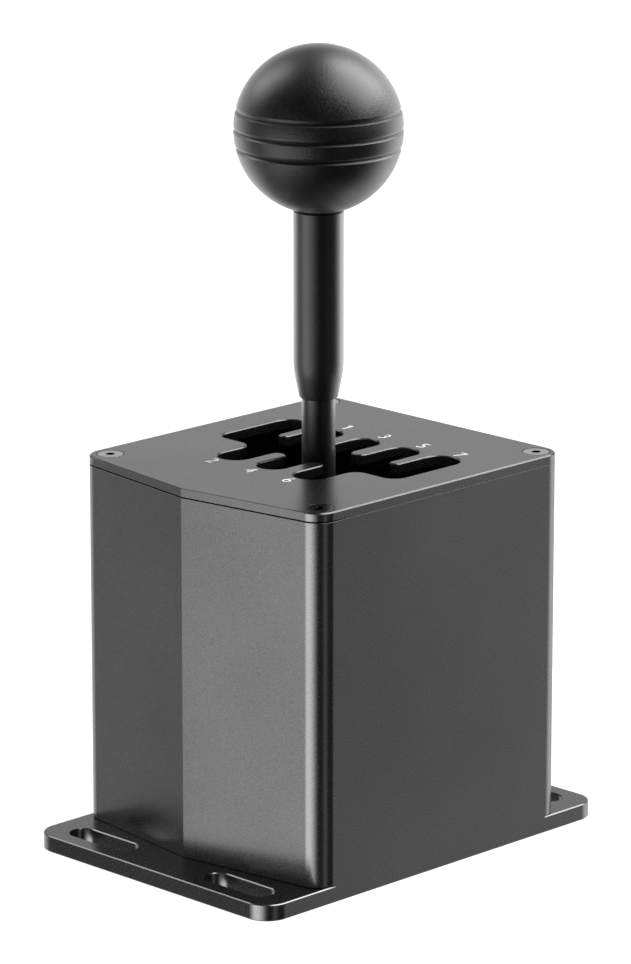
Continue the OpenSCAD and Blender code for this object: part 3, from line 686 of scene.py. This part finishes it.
def make_base_plate():
    """A slotted plate, its upper edge left sharp where the housing stands flush with it."""
    low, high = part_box("base_plate")
    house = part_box("housing")
    plate = block("slotted_base", low, high)
    round_edges_along(2, (low.z + high.z) / 2, BASE_CORNER_R, CORNER_STEPS)
    flush = [house[0].y + RIDGE + HOUSE_CORNER_R, house[1].y - HOUSE_CORNER_R]
    for y in flush:
        bpy.ops.mesh.select_all(action="SELECT")
        bpy.ops.mesh.bisect(plane_co=(0, y, 0), plane_no=(0, 1, 0))
    close()
    chamfer(plate, BASE_CHAMFER, lambda at: near(at.z, low.z) or not flush[0] < at.y < flush[1])
    half_slot = Vector((SLOT_LENGTH / 2, SLOT_WIDTH / 2, 0))
    for x in (-SLOT_X, SLOT_X):
        for y in (-SLOT_Y, SLOT_Y):
            cut(plate, slot_slug("slot", 2, Vector((x, y, low.z - MM)) - half_slot,
                                 Vector((x, y, high.z + MM)) + half_slot))
    chamfer(plate, SEAM_CHAMFER, lambda at: abs(abs(at.y) - SLOT_Y) < half_slot.y + HAIR
            and abs(abs(at.x) - SLOT_X) < half_slot.x + HAIR)
    for x, y in CORNER_PLACES + PILLAR_PLACES:
        cut(plate, countersink(x, y, low.z, -1))
    for x, y in BOARD_HOLES:
        cut(plate, drill(x, y, low.z - MM, high.z + MM, BOARD_HOLE_R))
    for x in (-SPRING_X, SPRING_X):
        cut(plate, drill(x, 0, low.z - MM, high.z + MM, POST_HOLE_R))
    smooth(plate)
    seat(plate, "frame", "dark_anodised", "base_plate")


def open_plan(name, z):
    """The housing's outline as one flat face: a shallow ridge in front and rounded corners."""
    low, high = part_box("housing")
    corner_y = low.y + RIDGE
    piece = start(name, "plane", size=1)
    bpy.ops.transform.resize(value=(high.x - low.x, high.y - corner_y, 1), center_override=(0, 0, 0))
    bpy.ops.transform.translate(value=((high.x + low.x) / 2, (high.y + corner_y) / 2, z))
    pick("EDGE", lambda at: near(at.y, corner_y))
    bpy.ops.mesh.subdivide(number_cuts=1)
    pick("VERT", lambda at: near(at.y, corner_y) and near(at.x, 0))
    bpy.ops.transform.translate(value=(0, -RIDGE, 0))
    slope = math.atan2(RIDGE, high.x)
    tangent = HOUSE_CORNER_R * math.tan(math.pi / 4 - slope / 2)
    round_corners(HOUSE_CORNER_R, CORNER_STEPS, lambda at: near(at.y, high.y))
    round_corners(tangent, CORNER_STEPS, lambda at: near(at.y, corner_y))
    return piece


def make_housing():
    """A tube with a ridged front, screw bosses in its corners and the inlet in its forward wall."""
    low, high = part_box("housing")
    height = high.z - low.z
    shell = open_plan("ridged_housing", low.z)
    bpy.ops.mesh.select_all(action="SELECT")
    bpy.ops.mesh.inset(thickness=WALL, use_even_offset=True)
    bpy.ops.mesh.delete(type="FACE")
    bpy.ops.mesh.select_all(action="SELECT")
    extrude(z=height)
    close()
    chamfer(shell, SEAM_CHAMFER, lambda at: near(at.z, low.z) and not near(abs(at.x), high.x))
    chamfer(shell, SHELL_CHAMFER, lambda at: near(at.z, high.z))
    for x, y in CORNER_PLACES:
        cut(shell, drill(x, y, low.z, high.z, BOSS_R), "UNION")
        cut(shell, drill(x, y, low.z - MM, low.z + SCREW_LENGTH, SCREW_SHANK_R + HOLE_GAP))
        cut(shell, drill(x, y, high.z - SCREW_LENGTH, high.z + MM, SCREW_SHANK_R + HOLE_GAP))
    for width, tall, deep in (USB_RECESS, USB_HOLE):
        low_corner = (-width / 2, high.y - deep, USB_Z - tall / 2)
        high_corner = (width / 2, high.y + MM, USB_Z + tall / 2)
        cut(shell, slot_slug("usb_inlet", 1, low_corner, high_corner))
    chamfer(shell, SEAM_CHAMFER, lambda at: near(at.y, high.y) and abs(at.x) < USB_RECESS[0] / 2 + HAIR)
    smooth(shell)
    seat(shell, "frame", "dark_anodised", "housing")
    # Painted shade: the housing's top chamfer takes the darker copy of its finish
    paint(shell, EDGE, lambda at: high.z - SHELL_CHAMFER < at.z and not near(at.z, high.z))


def in_screw_hole(at):
    """Whether a face lies within the rim of one of the gate's screw holes."""
    return any((at.xy - Vector(place)).length < SCREW_HEAD_R + HEAD_GAP for place in CORNER_PLACES)


def make_gate_plate():
    """A plate with the gate and four countersunk holes; its seam is deeper round the front."""
    low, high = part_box("gate_plate")
    plate = open_plan("shift_gate", low.z)
    bpy.ops.mesh.select_all(action="SELECT")
    extrude(z=high.z - low.z)
    close()
    facets = low.y + RIDGE - MM
    front = low.y + RIDGE + HOUSE_CORNER_R
    chamfer(plate, GATE_CHAMFER, lambda at: near(at.z, high.z) and at.y > facets)
    chamfer(plate, FINE_CHAMFER, lambda at: near(at.z, high.z) and at.y < facets)
    chamfer(plate, FRONT_SEAM, lambda at: near(at.z, low.z) and at.y < front)
    chamfer(plate, HAIR_CHAMFER, lambda at: near(at.z, low.z) and at.y > front)
    cut(plate, gate_tool(low.z - MM, high.z + MM))
    reach = OUTER_COLUMN + slot_half(OUTER_COLUMN) + MM
    chamfer(plate, RIM_ROUND, lambda at: near(at.z, high.z) and abs(at.x) < reach and abs(at.y) < reach,
            ROUND_STEPS, RIM_FLATNESS)
    for x, y in CORNER_PLACES:
        cut(plate, countersink(x, y, high.z, 1))
    smooth(plate)
    seat(plate, "frame", "dark_anodised", "gate_plate")
    # Painted shade: the top chamfer and the rounded slot rims take the darker copy of the finish
    paint(plate, EDGE, lambda at: high.z - GATE_CHAMFER < at.z and not near(at.z, high.z))

    def takes_painted_shade(at):
        """Whether a face takes painted shade: in a screw's hole, in the front seam or on the fine front edge."""
        in_seam = at.y < front and low.z + HAIR < at.z < low.z + FRONT_SEAM
        on_edge = at.y < facets and high.z - FINE_CHAMFER < at.z
        return (in_screw_hole(at) or in_seam or on_edge) and not near(at.z, high.z)

    # Painted shade in the screw holes, in the front seam and along the fine front edge
    paint(plate, PAINTED_SHADE, takes_painted_shade)


def gate_tool(low_z, high_z):
    """The gate's opening as a solid: the neutral channel, with slots drawn out of its edges."""
    half_w = OUTER_COLUMN + slot_half(OUTER_COLUMN)
    land_x = INNER_COLUMN + slot_half(INNER_COLUMN)
    columns = (-OUTER_COLUMN, -INNER_COLUMN, 0, INNER_COLUMN, OUTER_COLUMN)
    tool = start("gate_tool", "plane", size=2)
    bpy.ops.transform.resize(value=(half_w, NEUTRAL_HALF, 1), center_override=(0, 0, 0))
    bpy.ops.transform.translate(value=(0, 0, low_z))
    for x in [column + side * slot_half(column) for column in columns for side in (-1, 1)]:
        if abs(x) < half_w - MM:
            bpy.ops.mesh.select_all(action="SELECT")
            bpy.ops.mesh.bisect(plane_co=(x, 0, 0), plane_no=(1, 0, 0))
    for column in columns:
        for side in (-1, 1) if abs(column) < OUTER_COLUMN else (1,):
            pick("EDGE", lambda at: near(at.x, column) and near(at.y, side * NEUTRAL_HALF))
            extrude(y=side * (slot_end(column) - NEUTRAL_HALF))
    bpy.ops.mesh.select_all(action="SELECT")
    bpy.ops.mesh.dissolve_limited(angle_limit=CREASE)
    for side, finger_x in ((-1, INNER_COLUMN), (1, OUTER_COLUMN)):
        pick("VERT", lambda at: near(at.y, side * NEUTRAL_HALF) and abs(at.x) < finger_x)
        bpy.ops.transform.translate(value=(0, side * FINGER_BACK, 0))
    inner_tip = (INNER_COLUMN - slot_half(0) - slot_half(INNER_COLUMN) - TIP_FLAT) / 2
    outer_tip = (OUTER_COLUMN - land_x - slot_half(OUTER_COLUMN) - TIP_FLAT) / 2
    for column in columns[2:]:
        round_corners(slot_half(column) - HAIR, SLOT_STEPS, lambda at: abs(at.y) > slot_end(0) - MM
                      and near(abs(abs(at.x) - column), slot_half(column)))
    round_corners(inner_tip, SLOT_STEPS, lambda at: finger_tip(at) and abs(at.x) < INNER_COLUMN)
    round_corners(outer_tip, SLOT_STEPS, lambda at: finger_tip(at) and abs(at.x) > INNER_COLUMN)
    round_corners(LAND_R, SLOT_STEPS, lambda at: near(at.y, -NEUTRAL_HALF))
    bpy.ops.mesh.select_all(action="SELECT")
    extrude(z=high_z - low_z)
    close()
    return tool


def finger_tip(at):
    """Whether a corner is at the tip of a finger between two slots."""
    return near(abs(at.y), NEUTRAL_HALF + FINGER_BACK)


make_base_plate()
make_housing()
make_gate_plate()


# Screws

def make_gate_screws():
    """Countersunk screws with a hexagon socket, flush with the gate plate."""
    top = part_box("gate_plate")[1].z - SCREW_SINK
    tip = top - SCREW_LENGTH
    first_x, first_y = CORNER_PLACES[0]
    outline = [(0, top), (SCREW_HEAD_R, top), (SCREW_SHANK_R, top - SCREW_HEAD_H),
               (SCREW_SHANK_R, tip + SCREW_POINT), (SCREW_SHANK_R - SCREW_POINT, tip), (0, tip)]
    screw = turned("gate_screw_1", outline, first_x, first_y, HOLE_STEPS)
    socket = start("socket", "cylinder", vertices=6, radius=HEX_R, depth=2 * HEX_DEPTH,
                   location=(first_x, first_y, top))
    close()
    cut(screw, socket)
    chamfer(screw, HAIR_CHAMFER, lambda at: near(at.z, top))
    smooth(screw)
    seat(screw, "frame", "zinc_screw", "gate_screws")
    axis = Vector((first_x, first_y))
    # Painted shade in the hexagon socket
    paint(screw, PAINTED_SHADE, lambda at: HAIR < top - at.z < HEX_DEPTH + HAIR
          and (at.xy - axis).length < HEX_R)
    for index, (x, y) in enumerate(CORNER_PLACES[1:], 2):
        twin = copy_to(screw, f"gate_screw_{index}", x - first_x, y - first_y)
        seat(twin, "frame", "zinc_screw", "gate_screws")


make_gate_screws()


# Lever

def make_rod():
    """A round rod, thinner where it runs up through the sleeve."""
    low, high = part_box("lever_rod")
    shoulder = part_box("lever_sleeve")[0].z
    outline = [(0, low.z), (ROD_R - ROD_RIM, low.z), (ROD_R, low.z + ROD_RIM),
               (ROD_R, shoulder - HAIR), (THREAD_R, shoulder - HAIR),
               (THREAD_R, high.z - ROD_RIM), (THREAD_R - ROD_RIM, high.z), (0, high.z)]
    rod = turned("bare_rod", outline)
    smooth(rod)
    seat(rod, "lever", "blackened_steel", "lever_rod")


def make_sleeve():
    """A sleeve that tapers at its foot, with an eased shoulder over the taper."""
    low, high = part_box("lever_sleeve")
    bore_r = THREAD_R + HOLE_GAP
    shoulder = low.z + TAPER_LENGTH
    flare = (high.x - SLEEVE_TIP_R) / TAPER_LENGTH
    outline = [(bore_r, low.z), (SLEEVE_TIP_R, low.z)]
    for step in range(EASE_STEPS + 1):
        share = step / EASE_STEPS
        height = shoulder + SHOULDER_EASE * (2 * share - 1)
        outline.append((high.x - flare * SHOULDER_EASE * (1 - share) ** 2, height))
    outline += [(high.x, high.z), (bore_r, high.z), (bore_r, low.z)]
    sleeve = turned("grip_sleeve", outline)
    chamfer(sleeve, SEAM_CHAMFER, lambda at: True)
    smooth(sleeve)
    seat(sleeve, "lever", "black_anodised", "lever_sleeve")
    # Painted shade on the chamfer at the sleeve's foot, where it meets the rod
    paint(sleeve, PAINTED_SHADE, lambda at: at.z < low.z + SEAM_CHAMFER - HAIR)


def make_knob():
    """A ball with a flat foot, three ledged grooves round its middle and a bore for the insert."""
    low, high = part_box("knob")
    radius = high.x
    middle = high.z - radius
    foot = math.asin((low.z - middle) / radius)
    bore_top = low.z + KNOB_BORE_DEPTH
    outline = [(0, bore_top), (KNOB_BORE_R, bore_top), (KNOB_BORE_R, low.z)]
    grooves = [math.asin((step * GROOVE_PITCH + GROOVE_RISE) / radius) for step in (-1, 0, 1)]
    angles = [foot + (math.pi / 2 - foot) * step / KNOB_STEPS for step in range(KNOB_STEPS)]
    points = [(angle, radius) for angle in angles
              if all(abs(angle - groove) > GROOVE_HALF / radius for groove in grooves)]
    points += [(groove + rise * MM / radius, radius - depth * MM)
               for groove in grooves for rise, depth in GROOVE_CUT]
    for angle, reach in sorted(points):
        outline.append((reach * math.cos(angle), middle + reach * math.sin(angle)))
    outline.append((0, high.z))
    knob = turned("ball_knob", outline)
    smooth(knob, SHARP)
    knob.data.materials.append(KNOB_COAT)
    seat(knob, "lever", "black_anodised", "knob")


make_rod()
make_sleeve()
make_knob()


# Centring springs

def make_spring(side, node):
    """A wound spring that stands on the base plate, as tall as the solid that it stands for."""
    low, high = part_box(node)
    middle = (side * SPRING_X, 0, low.z + WIRE_R)
    spring = start(f"{node}_coil", "circle", vertices=WIRE_STEPS, radius=WIRE_R, location=middle)
    bpy.ops.transform.rotate(value=math.pi / 2, orient_axis="X", center_override=middle)
    bpy.ops.transform.translate(value=(COIL_R, 0, 0))
    bpy.ops.object.mode_set(mode="OBJECT")
    bpy.ops.object.modifier_add(type="SCREW")
    winding = spring.modifiers[-1]
    winding.angle = math.tau * COIL_TURNS
    winding.screw_offset = high.z - low.z - 2 * WIRE_R
    winding.steps = COIL_STEPS * COIL_TURNS
    winding.render_steps = COIL_STEPS * COIL_TURNS
    bpy.ops.object.modifier_apply(modifier=winding.name)
    bpy.ops.object.mode_set(mode="EDIT")
    bpy.ops.mesh.select_all(action="SELECT")
    bpy.ops.mesh.fill_holes(sides=0)
    close()
    smooth(spring, 2 * SHARP)
    spring.data.materials.append(FINISHES["spring_steel"])
    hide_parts(node)
    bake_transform(spring)


make_spring(-1, "left_spring")
make_spring(1, "right_spring")


# Numbers on the gate

def add_words(mark):
    """A mark in thin strokes, drawn from -1 to 1 deep and open for editing."""
    bpy.ops.object.select_all(action="DESELECT")
    bpy.ops.object.text_add()
    words = bpy.context.object
    words.data.body = mark
    words.data.offset = STROKE_OFFSET
    words.data.extrude = 1
    bpy.ops.object.convert(target="MESH")
    number = bpy.context.object
    bpy.ops.object.mode_set(mode="EDIT")
    return number


def draw_one():
    """A figure one with a flag, drawn from -1 to 1 deep and open for editing."""
    number = start("one", "plane", size=MM)
    draw((x, y, -1) for x, y in ONE_CORNERS)
    bpy.ops.mesh.edge_face_add()
    extrude(z=2)
    return number


def make_numbers():
    """Marks pressed flat to thin ink at the slots' ends, upright for the driver."""
    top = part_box("gate_plate")[1].z
    forward = zip("R1357", (-OUTER_COLUMN, -INNER_COLUMN, 0, INNER_COLUMN, OUTER_COLUMN))
    driver = zip("246", (-INNER_COLUMN, 0, INNER_COLUMN))
    places = [(mark, x, NUMBER_FORWARD_Y) for mark, x in forward]
    places += [(mark, x, NUMBER_DRIVER_Y) for mark, x in driver]
    for mark, x, y in places:
        number = draw_one() if mark == "1" else add_words(mark)
        number.name = f"gate_mark_{mark}"
        number.data.name = number.name
        shape = bmesh.from_edit_mesh(number.data)
        xs, ys = ([corner.co[axis] for corner in shape.verts] for axis in (0, 1))
        scale = NUMBER_HEIGHT / (max(ys) - min(ys))
        bpy.ops.mesh.select_all(action="SELECT")
        bpy.ops.transform.translate(value=(-(max(xs) + min(xs)) / 2, -(max(ys) + min(ys)) / 2, 1))
        bpy.ops.transform.resize(value=(scale, scale, INK_DEPTH / 2), center_override=(0, 0, 0))
        bpy.ops.transform.translate(value=(x - NUMBER_LEFT, y, top))
        close()
        number.data.materials.append(INK)
        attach(number, "frame")


make_numbers()


# Finishes of the solids that keep their own shape

for part in frame["record"]["subparts"]:
    solid = frame["nodes"][part["node"]]
    solid.data.materials.clear()
    solid.data.materials.append(FINISHES[part["material_slot"]])
